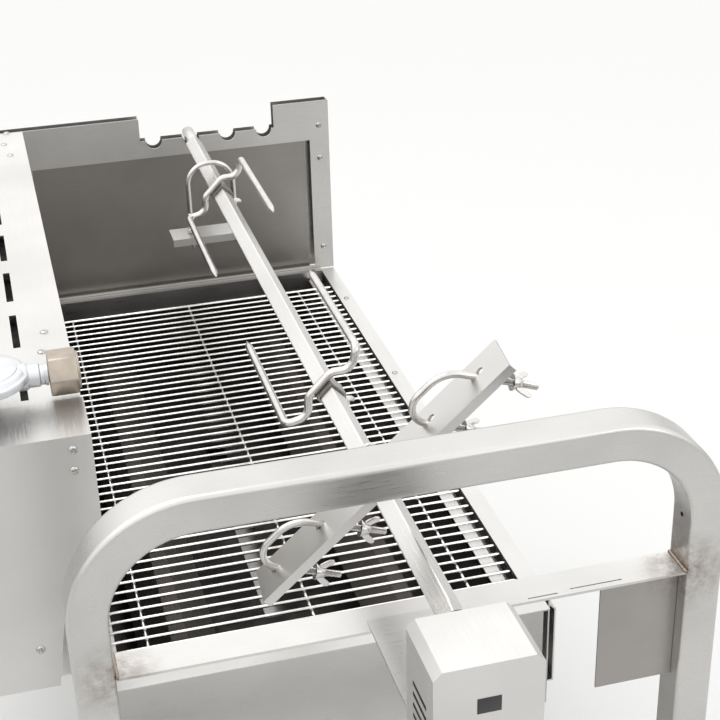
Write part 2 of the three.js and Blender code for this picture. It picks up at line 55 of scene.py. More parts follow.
# ---- places, from the frame -----------------------------------------------------
GRATE_LOW, GRATE_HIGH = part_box("grate")
GRATE_Z = GRATE_HIGH.z - 2 * MM
FIRST_BAR_Y = GRATE_HIGH.y - 2 * MM
ORIGIN = Vector((GRATE_LOW.x - 39 * MM, FIRST_BAR_Y, GRATE_Z))

SOCKET_LOW, SOCKET_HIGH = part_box("drive_socket")
SPIT = (SOCKET_LOW + SOCKET_HIGH) / 2
SPIT_LOW, SPIT_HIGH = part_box("spit_rod")


def at(x, y, z):
    """A place given in mm from the first bar's plane and the left end of the trough."""
    return ORIGIN + Vector((x, y, z)) * MM


# ---- camera, floor and light ------------------------------------------------------
CAMERA_PLACE = (0, -2368.7, 1086.3)
CAMERA_YAW, CAMERA_PITCH, CAMERA_ROLL = 0.2526, 0.46924, 0.02903
CAMERA_LENS = 74.2
SKY = 1.65
STAIN = (0.16, 0.115, 0.08)


def make_camera():
    yaw, pitch, roll = CAMERA_YAW, CAMERA_PITCH, CAMERA_ROLL
    ahead = Vector((math.sin(yaw) * math.cos(pitch), math.cos(yaw) * math.cos(pitch), -math.sin(pitch)))
    right = Vector((math.cos(yaw), -math.sin(yaw), 0))
    down = ahead.cross(right)
    rolled_right = right * math.cos(roll) + down * math.sin(roll)
    rolled_down = down * math.cos(roll) - right * math.sin(roll)
    camera = bpy.data.objects.new("camera", bpy.data.cameras.new("camera"))
    bpy.context.collection.objects.link(camera)
    turn = Matrix((rolled_right, -rolled_down, -ahead)).transposed().to_4x4()
    camera.matrix_world = Matrix.Translation(at(*CAMERA_PLACE)) @ turn
    camera.data.lens = CAMERA_LENS
    camera.data.sensor_width = 36
    camera.data.clip_end = 100
    bpy.context.scene.camera = camera


def area_light(name, place, target, size, power):
    light = bpy.data.objects.new(name, bpy.data.lights.new(name, "AREA"))
    light.data.shape = "RECTANGLE"
    light.data.size, light.data.size_y = size
    light.data.energy = power
    light.location = place
    light.rotation_euler = (Vector(target) - Vector(place)).to_track_quat("-Z", "Y").to_euler()
    bpy.context.collection.objects.link(light)


def make_studio():
    scene = bpy.context.scene
    scene.view_settings.view_transform = "Standard"
    world = bpy.data.worlds.new("studio")
    world.use_nodes = True
    tree = world.node_tree
    direction = tree.nodes.new("ShaderNodeTexCoord")
    parts = tree.nodes.new("ShaderNodeSeparateXYZ")
    tree.links.new(direction.outputs["Generated"], parts.inputs[0])
    ramp = tree.nodes.new("ShaderNodeValToRGB")
    stops = ((0.0, 0.40), (0.2, 0.45), (0.38, 0.85), (0.62, 1.0))
    while len(ramp.color_ramp.elements) < len(stops):
        ramp.color_ramp.elements.new(0.5)
    for element, (place, grey) in zip(ramp.color_ramp.elements, stops):
        element.position = place
        element.color = (grey, grey, grey * 0.99, 1)
    tree.links.new(map_range(tree, parts.outputs["Z"], -0.3, 1, 0, 1), ramp.inputs["Fac"])
    background = tree.nodes["Background"]
    tree.links.new(ramp.outputs["Color"], background.inputs["Color"])
    background.inputs["Strength"].default_value = SKY
    scene.world = world
    area_light("key", (-1.2, 0.2, 3.6), (0.1, 0, 0.8), (2.6, 2.6), 40)
    area_light("fill", (2.4, -2.6, 2.8), (0, 0, 0.7), (1.6, 1.6), 10)
    mesh = bpy.data.meshes.new("floor")
    mesh.from_pydata([(-9, -9, 0), (9, -9, 0), (9, 9, 0), (-9, 9, 0)], [], [(0, 1, 2, 3)])
    floor = bpy.data.objects.new("floor", mesh)
    bpy.context.collection.objects.link(floor)
    floor.data.materials.append(plain("floor_paint", (0.57, 0.57, 0.57), 0.85, 0.0, variation=0.01, scale=3))


# ---- materials ----------------------------------------------------------------------
def new_material(name):
    material = bpy.data.materials.new(name)
    material.use_nodes = True
    return material, material.node_tree, material.node_tree.nodes["Principled BSDF"]


def noise(tree, scale, detail=4.0, roughness=0.55, stretch=(1, 1, 1)):
    nodes, links = tree.nodes, tree.links
    coords = nodes.new("ShaderNodeTexCoord")
    mapping = nodes.new("ShaderNodeMapping")
    mapping.inputs["Scale"].default_value = stretch
    texture = nodes.new("ShaderNodeTexNoise")
    texture.inputs["Scale"].default_value = scale
    texture.inputs["Detail"].default_value = detail
    texture.inputs["Roughness"].default_value = roughness
    links.new(coords.outputs["Object"], mapping.inputs["Vector"])
    links.new(mapping.outputs["Vector"], texture.inputs["Vector"])
    return texture.outputs["Fac"]


def map_range(tree, value, low, high, to_low, to_high):
    node = tree.nodes.new("ShaderNodeMapRange")
    tree.links.new(value, node.inputs["Value"])
    for name, number in (("From Min", low), ("From Max", high), ("To Min", to_low), ("To Max", to_high)):
        node.inputs[name].default_value = number
    return node.outputs["Result"]


def mix_colour(tree, factor, first, second):
    node = tree.nodes.new("ShaderNodeMix")
    node.data_type = "RGBA"
    colours = [socket for socket in node.inputs if socket.type == "RGBA"]
    for socket, value in zip(colours, (first, second)):
        if isinstance(value, tuple):
            socket.default_value = (*value, 1)
        else:
            tree.links.new(value, socket)
    tree.links.new(factor, node.inputs[0])
    return [socket for socket in node.outputs if socket.type == "RGBA"][0]


def multiply(tree, first, second):
    node = tree.nodes.new("ShaderNodeMath")
    node.operation = "MULTIPLY"
    tree.links.new(first, node.inputs[0])
    tree.links.new(second, node.inputs[1])
    return node.outputs[0]


def bump(tree, shader, height, strength, distance):
    node = tree.nodes.new("ShaderNodeBump")
    node.inputs["Strength"].default_value = strength
    node.inputs["Distance"].default_value = distance
    tree.links.new(height, node.inputs["Height"])
    tree.links.new(node.outputs["Normal"], shader.inputs["Normal"])


def near_point(tree, place, reach):
    """1 at a place in the frame, falling to 0 at reach."""
    coords = tree.nodes.new("ShaderNodeTexCoord")
    distance = tree.nodes.new("ShaderNodeVectorMath")
    distance.operation = "DISTANCE"
    distance.inputs[1].default_value = place
    tree.links.new(coords.outputs["Object"], distance.inputs[0])
    return map_range(tree, distance.outputs["Value"], 0, reach, 1, 0)


BRUSHING = {"X": (6, 260, 260), "Y": (260, 6, 260), "Z": (260, 260, 6)}


def brushed(name, colour, rough, along, metallic=1.0, stains=(), blotch=0.12, grain=0.25):
    """Brushed sheet: fine scratches along one axis, soft blotches, and stains near welds."""
    material, tree, shader = new_material(name)
    shader.inputs["Metallic"].default_value = metallic
    scratches = noise(tree, 4, 5, 0.6, BRUSHING[along])
    clouds = noise(tree, 5, 3)
    dark = tuple(c * (1 - blotch) for c in colour)
    light = tuple(min(c * (1 + blotch * 0.5), 1) for c in colour)
    tint = mix_colour(tree, map_range(tree, clouds, 0.3, 0.7, 0, 1), dark, light)
    streak = tuple(c * 0.93 for c in colour)
    tint = mix_colour(tree, map_range(tree, scratches, 0.35, 0.75, 0, 0.5), tint, streak)
    for place, reach, strength in stains:
        spot = map_range(tree, noise(tree, 60, 4, 0.7), 0.35, 0.62, 0, strength)
        weight = multiply(tree, near_point(tree, place, reach), spot)
        tint = mix_colour(tree, weight, tint, STAIN)
    tree.links.new(tint, shader.inputs["Base Color"])
    gloss = map_range(tree, scratches, 0.3, 0.7, rough - 0.06, rough + 0.09)
    tree.links.new(gloss, shader.inputs["Roughness"])
    bump(tree, shader, scratches, grain, 0.00025)
    return material


def plain(name, colour, rough, metallic, variation=0.08, scale=30, grain=0.0):
    """Cast, moulded or plated stuff: even, with slight variation of colour and gloss."""
    material, tree, shader = new_material(name)
    shader.inputs["Metallic"].default_value = metallic
    clouds = noise(tree, scale, 5)
    spread = map_range(tree, clouds, 0.3, 0.7, 0, 1)
    dark = tuple(c * (1 - variation) for c in colour)
    light = tuple(min(c * (1 + variation), 1) for c in colour)
    tree.links.new(mix_colour(tree, spread, dark, light), shader.inputs["Base Color"])
    gloss = map_range(tree, clouds, 0.3, 0.7, rough * 0.85, min(rough * 1.2, 1))
    tree.links.new(gloss, shader.inputs["Roughness"])
    if grain:
        bump(tree, shader, noise(tree, scale * 20, 3), grain, 0.0003)
    return material


def sooty(name):
    """Steel blackened by heat, with paler worn patches."""
    material, tree, shader = new_material(name)
    shader.inputs["Metallic"].default_value = 0.7
    patches = map_range(tree, noise(tree, 9, 6, 0.65), 0.48, 0.7, 0, 1)
    tree.links.new(mix_colour(tree, patches, (0.010, 0.009, 0.009), (0.05, 0.046, 0.043)),
                   shader.inputs["Base Color"])
    tree.links.new(map_range(tree, noise(tree, 40, 4), 0.3, 0.7, 0.45, 0.8), shader.inputs["Roughness"])
    bump(tree, shader, noise(tree, 220, 4), 0.3, 0.0004)
    return material


# ---- mesh making ------------------------------------------------------------------------
SMOOTH_ANGLE = math.radians(32)


def piece(name, mesh, material, body, stands_for=()):
    mesh.polygons.foreach_set("use_smooth", [True] * len(mesh.polygons))
    mesh.set_sharp_from_angle(angle=SMOOTH_ANGLE)
    mesh.materials.append(material)
    thing = bpy.data.objects.new(name, mesh)
    bpy.context.collection.objects.link(thing)
    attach(thing, body)
    if stands_for:
        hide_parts(*stands_for)
    return thing


def to_mesh(name, verts, faces):
    """A closed mesh with its faces pointing out."""
    mesh = bpy.data.meshes.new(name)
    mesh.from_pydata([tuple(v) for v in verts], [], faces)
    shape = bmesh.new()
    shape.from_mesh(mesh)
    bmesh.ops.recalc_face_normals(shape, faces=shape.faces)
    shape.to_mesh(mesh)
    shape.free()
    return mesh


def joined(name, meshes):
    shape = bmesh.new()
    for mesh in meshes:
        shape.from_mesh(mesh)
    result = bpy.data.meshes.new(name)
    shape.to_mesh(result)
    shape.free()
    return result


def bevelled(mesh, width, segments=2, angle=math.radians(40)):
    shape = bmesh.new()
    shape.from_mesh(mesh)
    edges = [e for e in shape.edges if len(e.link_faces) == 2 and e.calc_face_angle() > angle]
    bmesh.ops.bevel(shape, geom=edges, offset=width, segments=segments, affect="EDGES", profile=0.5)
    shape.to_mesh(mesh)
    shape.free()
    return mesh


def moved(mesh, matrix):
    mesh.transform(matrix)
    return mesh


def block(low, high, bevel=0.0):
    (x0, y0, z0), (x1, y1, z1) = low, high
    verts = [(x, y, z) for z in (z0, z1) for x, y in ((x0, y0), (x1, y0), (x1, y1), (x0, y1))]
    faces = [(0, 3, 2, 1), (4, 5, 6, 7), (0, 1, 5, 4), (1, 2, 6, 5), (2, 3, 7, 6), (3, 0, 4, 7)]
    mesh = to_mesh("block", verts, faces)
    return bevelled(mesh, bevel) if bevel else mesh


def extruded(points, depth, bevel=0.0):
    """An outline in X, Z pushed depth along Y, centred on Y = 0."""
    count = len(points)
    verts = [(x, side, z) for side in (-depth / 2, depth / 2) for x, z in points]
    sides = [(i, (i + 1) % count, (i + 1) % count + count, i + count) for i in range(count)]
    mesh = to_mesh("extruded", verts, [tuple(range(count)), tuple(range(count, 2 * count)), *sides])
    return bevelled(mesh, bevel) if bevel else mesh


def lathe(profile, segments=48):
    """A profile of (radius, height) turned about Z; its ends lie on the axis, or it closes on itself."""
    shape = bmesh.new()
    rings = []
    for radius, height in profile:
        if radius < 1e-7:
            rings.append([shape.verts.new((0, 0, height))])
            continue
        turns = (2 * math.pi * k / segments for k in range(segments))
        rings.append([shape.verts.new((radius * math.cos(a), radius * math.sin(a), height)) for a in turns])
    pairs = list(zip(rings, rings[1:]))
    if len(rings[0]) > 1:
        pairs.append((rings[-1], rings[0]))
    for low, high in pairs:
        for k in range(segments):
            corners = [low[k % len(low)], low[(k + 1) % len(low)],
                       high[(k + 1) % len(high)], high[k % len(high)]]
            corners = list(dict.fromkeys(corners))
            if len(corners) > 2:
                shape.faces.new(corners)
    bmesh.ops.recalc_face_normals(shape, faces=shape.faces)
    mesh = bpy.data.meshes.new("lathe")
    shape.to_mesh(mesh)
    shape.free()
    return mesh


def aimed(axis, place):
    """The matrix that turns Z towards axis and moves to place."""
    return Matrix.Translation(place) @ Vector(axis).to_track_quat("Z", "Y").to_matrix().to_4x4()


def rounded(points, radius, steps=8):
    """A line of points whose corners are rounded by arcs."""
    line = [Vector(points[0])]
    for before, corner, after in zip(points, points[1:], points[2:]):
        before, corner, after = Vector(before), Vector(corner), Vector(after)
        back, ahead = before - corner, after - corner
        half = back.angle(ahead) / 2
        room = min(radius / math.tan(half), back.length * 0.49, ahead.length * 0.49)
        enter, leave = corner + back.normalized() * room, corner + ahead.normalized() * room
        reach = room * math.tan(half)
        middle = corner + (back.normalized() + ahead.normalized()).normalized() * (room / math.cos(half))
        for k in range(steps + 1):
            spoke = (enter - middle).slerp(leave - middle, k / steps)
            line.append(middle + spoke.normalized() * reach)
    line.append(Vector(points[-1]))
    return line


def sweep(line, section, normal=None, scale=None):
    """A section of (a, b) points swept along a line. normal fixes the b direction of a flat path."""
    verts, count = [], len(section)
    side = None
    for i, point in enumerate(line):
        tangent = (line[min(i + 1, len(line) - 1)] - line[max(i - 1, 0)]).normalized()
        if normal is not None:
            out = Vector(normal)
        else:
            seed = side if side is not None else tangent.orthogonal()
            out = (seed - tangent * seed.dot(tangent)).normalized()
        side = out
        across = tangent.cross(out)
        size = scale(i) if scale else 1
        verts += [point + (across * a + out * b) * size for a, b in section]
    faces = [tuple(reversed(range(count))), tuple(range(len(verts) - count, len(verts)))]
    for i in range(len(line) - 1):
        for k in range(count):
            a, b = i * count + k, i * count + (k + 1) % count
            faces.append((a, b, b + count, a + count))
    return to_mesh("sweep", verts, faces)


def circle(radius, sides=14):
    return [(radius * math.cos(2 * math.pi * k / sides), radius * math.sin(2 * math.pi * k / sides))
            for k in range(sides)]


def soft_rectangle(width, height, radius, steps=4):
    corners = ((1, 1, 0), (-1, 1, 90), (-1, -1, 180), (1, -1, 270))
    points = []
    for sx, sy, start in corners:
        cx, cy = sx * (width / 2 - radius), sy * (height / 2 - radius)
        for k in range(-1, steps + 2):
            turn = min(max(k, 0), steps)
            angle = math.radians(start + 90 * turn / steps)
            x, y = cx + radius * math.cos(angle), cy + radius * math.sin(angle)
            beside = (k - turn) * min(radius, 1 * MM)
            points.append((x - beside * math.sin(angle), y + beside * math.cos(angle)))
    return points


def densified(line, step):
    points = [line[0]]
    for start, end in zip(line, line[1:]):
        count = max(1, round((end - start).length / step))
        points += [start.lerp(end, k / count) for k in range(1, count + 1)]
    return points


# ---- fasteners ---------------------------------------------------------------------------
def pan_screw(name, place, axis, body="chassis", radius=5.2 * MM):
    """A pan head with a sunken cross."""
    height = radius * 0.55
    dome = [(radius * math.sin(t), height * math.cos(t)) for t in (math.pi / 2 * k / 9 for k in range(10))]
    mesh = lathe([(0, 0), (radius, 0), *reversed(dome[1:]), (0, height)], 40)
    reach, slit = radius * 0.52, radius * 0.16
    for vertex in mesh.vertices:
        x, y, z = vertex.co
        in_cross = (abs(x) < slit and abs(y) < reach) or (abs(y) < slit and abs(x) < reach)
        if in_cross and z > height * 0.5:
            vertex.co.z -= height * 0.45
    spin = Matrix.Rotation(random.uniform(0, math.pi), 4, "Z")
    return piece(name, moved(mesh, aimed(axis, place) @ spin), SCREW, body)


def hexagon(radius, height):
    """A nut's block, its radius measured to the corners."""
    verts = circle(radius, 6)
    mesh = extruded(verts, height, min(height, radius) * 0.07)
    return moved(mesh, Matrix.Rotation(math.pi / 2, 4, "X"))


def wing_nut(name, place, axis, body, turn=0.0):
    """A round hub with two upswept wings."""
    profile = [(0, 0), (7.2, 0), (7.4, 1), (5.6, 8), (4.6, 9), (0, 9)]
    hub = lathe([(r * MM, a * MM) for r, a in profile], 32)
    outline = [(3, 1), (9, 2), (13, 7), (16, 12), (16.5, 16), (14, 18.5), (11, 17), (8, 12), (4, 7.5)]
    wings = []
    for side in (1, -1):
        wing = extruded([(x * side * MM, z * MM) for x, z in outline], 3 * MM, 0.9 * MM)
        wings.append(wing)
    mesh = moved(joined(name, [hub, *wings]), aimed(axis, place) @ Matrix.Rotation(turn, 4, "Z"))
    return piece(name, mesh, POLISHED, body)


def threaded(line, radius, start, pitch=1.6 * MM):
    """A rod whose run after start (metres along the line, from each end) carries ridges."""
    fine = densified(line, pitch / 2)
    lengths = [0.0]
    for a, b in zip(fine, fine[1:]):
        lengths.append(lengths[-1] + (b - a).length)
    total = lengths[-1]

    def size(i):
        from_end = min(lengths[i], total - lengths[i])
        if from_end > start:
            return 1.0
        return 1.0 if i % 2 else 0.84
    return sweep(fine, circle(radius, 14), scale=size)


# ---- grate ----------------------------------------------------------------------------------
def make_grate():
    x0, x1 = GRATE_LOW.x, GRATE_HIGH.x
    meshes = []
    for i in range(BARS):
        radius = (2.9 if i == 0 else 2.2) * MM
        y = FIRST_BAR_Y - i * PITCH
        tip = [x0, x0 + 0.6 * radius, x0 + radius * 1.6, x1 - radius * 1.6, x1 - 0.6 * radius, x1]
        scales = [0.45, 0.85, 1, 1, 0.85, 0.45]
        line = [Vector((x, y, GRATE_Z)) for x in tip]
        meshes.append(sweep(line, circle(radius, 12), normal=(0, 0, 1), scale=lambda k: scales[k]))
    wire_z = GRATE_LOW.z + 2 * MM
    last = FIRST_BAR_Y - (BARS - 1) * PITCH
    for x in (102, 304, 502):
        line = [Vector((at(x, 0, 0).x, y, wire_z)) for y in (last - 2 * MM, FIRST_BAR_Y + 2 * MM)]
        meshes.append(sweep(line, circle(2.2 * MM, 10), normal=(0, 0, 1)))
    piece("bar_grate", joined("bar_grate", meshes), GRATE_CHROME, "chassis", ["grate"])


# ---- handle -----------------------------------------------------------------------------------
def make_handle():
    low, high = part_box("handle_loop")
    bar_low, bar_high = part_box("handle_crossbar")
    tube, wall = 40 * MM, 0.4 * MM
    depth = 46 * MM
    left, right = bar_low.x - wall - tube / 2, bar_high.x + wall + tube / 2
    y = (low.y + high.y) / 2
    foot_top = low.z + 4 * MM
    corner = 129 * MM - tube / 2
    top = high.z - tube / 2
    line = rounded([(left, y, foot_top), (left, y, top), (right, y, top), (right, y, foot_top)], corner, 28)
    section = soft_rectangle(tube, depth, 5.5 * MM)
    mesh = sweep(densified(line, 60 * MM), section, normal=(0, 1, 0))
    feet = [block((x - 32 * MM, y - 32 * MM, low.z), (x + 32 * MM, y + 32 * MM, foot_top), 1.2 * MM)
            for x in (left, right)]
    # Painted shade: a thin blackened disc on the inner side of the right leg stands in for the dark inside of
    # a drain hole.
    hole_shade = lathe([(0, 0), (2.6 * MM, 0), (2.6 * MM, 0.3 * MM), (0, 0.3 * MM)], 20)
    piece("push_handle", joined("push_handle", [mesh, *feet]), HANDLE, "chassis",
          ["handle_loop"])
    hole_place = Vector((right - tube / 2 - 0.15 * MM, y, bar_high.z + 58 * MM))
    piece("handle_drain_hole_shade", moved(hole_shade, aimed((-1, 0, 0), hole_place)), PIT, "chassis")
    for x, side in ((left + tube / 2, 1), (right - tube / 2, -1)):
        bead_line = [Vector((x + side * 1.2 * MM, yy, bar_high.z + 0.5 * MM)) for yy in
                     [bar_low.y + (bar_high.y - bar_low.y) * k / 16 for k in range(17)]]
        bead = sweep(bead_line, circle(2.0 * MM, 10), normal=(0, 0, 1), scale=lambda k: 0.85 + 0.3 * (k % 2))
        piece(f"weld_bead_{'left' if side > 0 else 'right'}", bead, WELD, "chassis")


# ---- spit and fittings ---------------------------------------------------------------------------
def across(u, v, y):
    """A place beside the spit, in mm: u up to the right at 45 degrees, v up to the left, y in metres."""
    return Vector((SPIT.x + (u - v) * ROOT_HALF * MM, y, SPIT.z + (u + v) * ROOT_HALF * MM))


def make_spit():
    near, far = SPIT_LOW.y, SPIT_HIGH.y
    stub_start = far - 65 * MM
    body_start = near + 61.5 * MM
    stations = [(near, 6.0), (near + 1.5 * MM, 6.36), (body_start - 18 * MM, 6.36), (body_start, 10),
                (stub_start - 0.8 * MM, 10), (stub_start, 9.3)]
    line = [Vector((SPIT.x, y, SPIT.z)) for y, _ in stations]
    section = [(a * ROOT_HALF - b * ROOT_HALF, a * ROOT_HALF + b * ROOT_HALF)
               for a, b in soft_rectangle(2 * MM, 2 * MM, 0.12 * MM, 3)]
    bar = sweep(line, section, normal=(0, 0, 1), scale=lambda k: stations[k][1])
    stub = lathe([(0, 0), (10.4 * MM, 0), (10.4 * MM, 62 * MM), (9.2 * MM, 64.6 * MM), (0, 65 * MM)], 48)
    moved(stub, aimed((0, 1, 0), (SPIT.x, stub_start, SPIT.z)))
    piece("spit_bar", joined("spit_bar", [bar, stub]), SPIT_STEEL, "spit", ["spit_rod"])


FORK_WAVE = [(-62, 14), (-46, 4), (-34, 3), (-20, 16.4), (20, 16.4), (34, 3), (46, 4), (62, 14)]


def make_fork(name, reach):
    low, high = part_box(name)
    body = name.split("_")[1] + "_fork"
    y = low.y + 12 * MM if reach > 0 else high.y - 12 * MM
    tip = y + reach * MM
    points = [across(-62, 14, tip), *[across(u, v, y) for u, v in FORK_WAVE], across(62, 14, tip)]
    line = densified(rounded(points, 13 * MM, 8), 6 * MM)
    total = len(line) - 1

    def size(i):
        from_tip = min(i, total - i)
        return (0.22, 0.5, 0.8, 0.97)[from_tip] if from_tip < 4 else 1.0
    rod = sweep(line, circle(5 * MM, 18), scale=size)
    outer = soft_rectangle(26 * MM, 26 * MM, 2.2 * MM)
    sleeve = square_sleeve(outer, 20.9 * MM, y, 24 * MM)
    stud_low, stud_high = across(0, -13.5, y), across(0, -19, y)
    collar = moved(hexagon(6.2 * MM, 5 * MM), aimed(stud_high - stud_low, (stud_low + stud_high) / 2))
    piece(f"{name}_rod", rod, POLISHED, body, [name])
    piece(f"{name}_sleeve", sleeve, SLEEVE_STEEL, body)
    piece(f"{name}_boss", collar, POLISHED, body)
    down = stud_high - stud_low
    shank = sweep(densified([across(0, -12.2, y), across(0, -27, y)], 0.8 * MM), circle(3 * MM, 14),
                  scale=lambda k: 1.0 if k % 2 else 0.86)
    piece(f"{name}_lock_shank", shank, POLISHED, body, [f"{name}_screw"])
    wing_nut(f"{name}_lock_wing", across(0, -20, y), down, body, 0.6)


def square_sleeve(outer, bore, y, length):
    """A short square tube round the spit, with soft outer edges."""
    inner = soft_rectangle(bore, bore, 0.8 * MM)
    rings = []
    shape = bmesh.new()
    half = length / 2
    for points, offset in ((outer, -half), (outer, half), (inner, half), (inner, -half)):
        ring = []
        for a, b in points:
            place = across(a / MM, b / MM, y + offset)
            ring.append(shape.verts.new(place))
        rings.append(ring)
    for low, high in zip(rings, rings[1:] + rings[:1]):
        for k in range(len(low)):
            shape.faces.new((low[k], low[(k + 1) % len(low)], high[(k + 1) % len(low)], high[k]))
    bmesh.ops.recalc_face_normals(shape, faces=shape.faces)
    mesh = bpy.data.meshes.new("sleeve")
    shape.to_mesh(mesh)
    shape.free()
    return mesh


LEAN = math.radians(28)
SKEW = math.radians(-5.5)
BRACKET_V = -13.4
PLATE_NORMAL = Vector((-ROOT_HALF, 0, ROOT_HALF))
BOLT_HALF = 36
BOLT_HEAD, BOLT_TIP = -38, 70
BOLT_ALONG = 3.5
BOLT_ROD = 4 * MM
CLAMP_HALF = 16
CLAMP_ALONG = 16
CLAMP_ROD = 2.5 * MM
BRACE_ROD = 4 * MM
BRACE_NUT = 7.2 * MM
BRACKET_LOW, BRACKET_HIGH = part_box("leg_bracket")
BRACKET_CENTRE = Vector((SPIT.x, (BRACKET_LOW.y + BRACKET_HIGH.y) / 2, SPIT.z))


def on_bracket(u, v, along):
    """A place on the leg bracket, in mm from its middle, which is turned about its plate's normal."""
    straight = across(u, v, along * MM) - across(0, 0, 0)
    return BRACKET_CENTRE + Matrix.Rotation(SKEW, 4, PLATE_NORMAL) @ straight


def leg_bolt(name, centre, number):
    """A U-bolt that leans in its holes, with ridged legs, washers and wing nuts."""
    def on_leg(side, distance):
        return on_bracket(centre + side * BOLT_HALF + distance * math.sin(LEAN),
                          BRACKET_V - distance * math.cos(LEAN), BOLT_ALONG)
    points = [on_leg(-1, BOLT_TIP), on_leg(-1, BOLT_HEAD), on_leg(1, BOLT_HEAD), on_leg(1, BOLT_TIP)]
    rod = threaded(rounded(points, 35 * MM, 22), BOLT_ROD, 66 * MM)
    piece(f"{name}_rod", rod, POLISHED, "leg_clamp", [name])
    for label, side in (("a", -1), ("b", 1)):
        direction = on_leg(side, 40) - on_leg(side, 30)
        washer = lathe([(4.4 * MM, 0), (9 * MM, 0), (9 * MM, 1.4 * MM), (4.4 * MM, 1.4 * MM)], 32)
        piece(f"{name}_washer_{label}", moved(washer, aimed(direction, on_leg(side, 40))), POLISHED,
              "leg_clamp")
        wing_nut(f"{name}_wing_{label}", on_leg(side, 42), direction, "leg_clamp", 0.5 + number)


def make_bracket_clamp():
    """The small U-bolt that holds the leg bracket on the spit."""
    corners = ((-CLAMP_HALF, -24), (-CLAMP_HALF, 13.2), (CLAMP_HALF, 13.2), (CLAMP_HALF, -24))
    points = [on_bracket(u, v, CLAMP_ALONG) for u, v in corners]
    rod = threaded(rounded(points, 5 * MM, 8), CLAMP_ROD, 16 * MM)
    piece("bracket_clamp_rod", rod, POLISHED, "leg_clamp", ["bracket_clamp"])
    for k, u in enumerate((-CLAMP_HALF, CLAMP_HALF)):
        nut = moved(hexagon(5.2 * MM, 4 * MM), aimed(-PLATE_NORMAL, on_bracket(u, -16.2, CLAMP_ALONG)))
        piece(f"bracket_clamp_nut_{k + 1}", nut, POLISHED, "leg_clamp")


def make_brace():
    low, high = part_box("brace_bolt")
    plate_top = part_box("brace_plate")[1].z
    y = (low.y + high.y) / 2
    nut_half = BRACE_NUT * math.cos(math.pi / 6)
    x0, x1 = low.x + nut_half, high.x - nut_half
    top = high.z - BRACE_ROD
    points = [(x0, y, low.z), (x0, y, top), (x1, y, top), (x1, y, low.z)]
    rod = threaded(rounded(points, 34 * MM, 22), BRACE_ROD, 60 * MM)
    piece("brace_bolt_rod", rod, POLISHED, "spine_brace", ["brace_bolt"])
    for k, x in enumerate((x0, x1)):
        for where, z in (("under", plate_top - 6 * MM), ("over", plate_top + 3 * MM)):
            nut = moved(hexagon(BRACE_NUT, 4.6 * MM), Matrix.Translation((x, y, z)))
            piece(f"brace_nut_{where}_{k + 1}", nut, POLISHED, "spine_brace")


# ---- castors and knobs --------------------------------------------------------------------------------
def make_castors():
    for place in ("near_rear", "near_front", "far_rear", "far_front"):
        low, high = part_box(f"castor_wheel_{place}")
        centre = Vector(((low.x + high.x) / 2, (low.y + high.y) / 2, 50 * MM))
        half = [(5.3, -18), (13, -18), (14, -14), (17, -12.5), (38, -12.5), (40, -14), (45, -13), (48.6, -10),
                (49.7, -6), (50, 0)]
        profile = half + [(r, -a) for r, a in reversed(half[:-1])]
        wheel = lathe([(r * MM, a * MM) for r, a in profile], 56)
        piece(f"wheel_{place}", moved(wheel, aimed((1, 0, 0), centre)), RUBBER, f"wheel_{place}",
              [f"castor_wheel_{place}"])
        for side in (-1, 1):
            hub = lathe([(0, 0), (9 * MM, 0), (9 * MM, 1.2 * MM), (6.4 * MM, 1.2 * MM), (6 * MM, 6 * MM),
                         (0, 6.4 * MM)], 6 if side < 0 else 32)
            spot = centre + Vector((side * 21 * MM, 0, 0))
            end = "in" if side < 0 else "out"
            piece(f"axle_end_{place}_{end}", moved(hub, aimed((side, 0, 0), spot)), SCREW,
                  f"castor_{place}")


def make_knobs():
    for number in (1, 2, 3):
        low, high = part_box(f"knob_{number}")
        centre = Vector((low.x, (low.y + high.y) / 2, (low.z + high.z) / 2))
        profile = [(0, 12), (4.8, 12), (4.8, 0), (19.5, 0), (21.4, 0.8), (21.8, 3), (20.6, 4.2), (19.2, 5),
                   (18.4, 20), (17.8, 22.4), (16, 23.6), (0, 23.9)]
        knob = lathe([(r * MM, a * MM) for r, a in profile], 72)
        for vertex in knob.vertices:
            x, y, z = vertex.co
            if z > 4.5 * MM and math.hypot(x, y) > 12 * MM:
                ripple = 1 + 0.03 * math.cos(12 * math.atan2(y, x))
                vertex.co.x, vertex.co.y = x * ripple, y * ripple
        piece(f"gas_knob_{number}", moved(knob, aimed((1, 0, 0), centre)), PLASTIC, f"knob_{number}",
              [f"knob_{number}"])
        mark = block((-0.9 * MM, 4 * MM, 23.7 * MM), (0.9 * MM, 15 * MM, 24.2 * MM), 0.2 * MM)
        piece(f"gas_knob_mark_{number}", moved(mark, aimed((1, 0, 0), centre)), MARK, f"knob_{number}")


